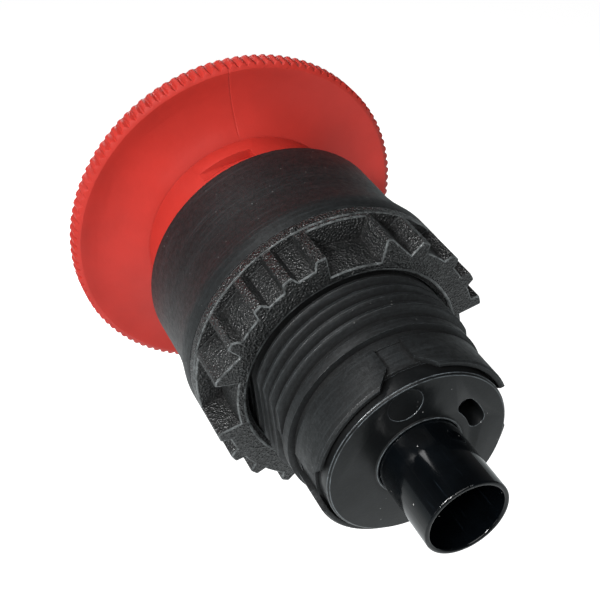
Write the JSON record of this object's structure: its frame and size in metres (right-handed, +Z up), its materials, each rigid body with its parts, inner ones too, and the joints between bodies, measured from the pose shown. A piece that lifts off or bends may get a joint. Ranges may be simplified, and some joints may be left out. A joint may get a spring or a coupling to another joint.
{
  "type": "emergency stop button",
  "caption": "Mushroom-head emergency stop button for a round panel hole: push to latch, turn to release, with a threaded barrel, ring nut and rear plunger.",
  "frame": {"origin": "centre of the face of the bezel that seats on the panel", "axes": "+Y along the axis, from the mushroom head through the panel to the rear plunger; +Z up and +X across, square to it"},
  "size_m": [0.04, 0.0588, 0.04],
  "materials": {
    "red_plastic": "moulded, fine satin",
    "black_plastic": "moulded, satin, slightly worn edges",
    "nut_plastic": "moulded, spark-eroded grain on recessed faces",
    "cover_plastic": "moulded, satin",
    "plunger_plastic": "moulded, glossy",
    "white_plastic": "moulded, satin",
    "bush_plastic": "natural acetal, satin",
    "seal_rubber": "moulded",
    "spring_steel": "drawn wire",
    "pin_steel": "turned"
  },
  "bodies": {
    "body": {"operator_body": "black_plastic", "panel_gasket": "seal_rubber", "neck_seal": "seal_rubber", "rear_cover": "cover_plastic", "guide_bush": "bush_plastic", "spindle_seal": "seal_rubber", "return_spring": "spring_steel", "latch_spring": "spring_steel"},
    "plunger": {"spindle": "bush_plastic", "plunger_tube": "plunger_plastic", "cam_pin": "pin_steel", "drive_pin": "pin_steel", "retaining_clip": "pin_steel", "head_screw": "pin_steel", "head_washer": "pin_steel", "twist_spring": "spring_steel"},
    "head": {"mushroom_head": "red_plastic", "head_cap": "red_plastic", "release_arrows": "white_plastic"},
    "latch": {"latch_cam": "bush_plastic"},
    "nut_carriage": {"thrust_ring": "nut_plastic"},
    "nut": {"mounting_nut": "nut_plastic"}
  },
  "joints": [
    {"name": "head_push", "type": "slide", "parent": "body", "child": "plunger", "axis": [0, 1, 0], "range_m": [0, 0.005], "stiffness_N_per_m": 1500, "springref_m": -0.004, "deforming": ["return_spring"]},
    {"name": "head_twist", "type": "hinge", "parent": "plunger", "child": "head", "pos_m": [0, 0, 0], "axis": [0, 1, 0], "range_deg": [0, 30], "stiffness_Nm_per_rad": 0.03, "springref_deg": -17.19, "deforming": ["twist_spring"]},
    {"name": "latch_turn", "type": "hinge", "parent": "body", "child": "latch", "pos_m": [0, 0, 0], "axis": [0, 1, 0], "range_deg": [0, 30], "deforming": ["latch_spring"]},
    {"name": "nut_travel", "type": "slide", "parent": "body", "child": "nut_carriage", "axis": [0, 1, 0], "range_m": [0, 0.006]},
    {"name": "nut_turn", "type": "hinge", "parent": "nut_carriage", "child": "nut", "pos_m": [0, 0, 0], "axis": [0, 1, 0], "range_deg": [0, 1440]}
  ],
  "couplings": [
    {"joint": "latch_turn", "follows": "head_push", "rad_per_m": 104.72},
    {"joint": "nut_turn", "follows": "nut_travel", "rad_per_m": 4188.8}
  ]
}
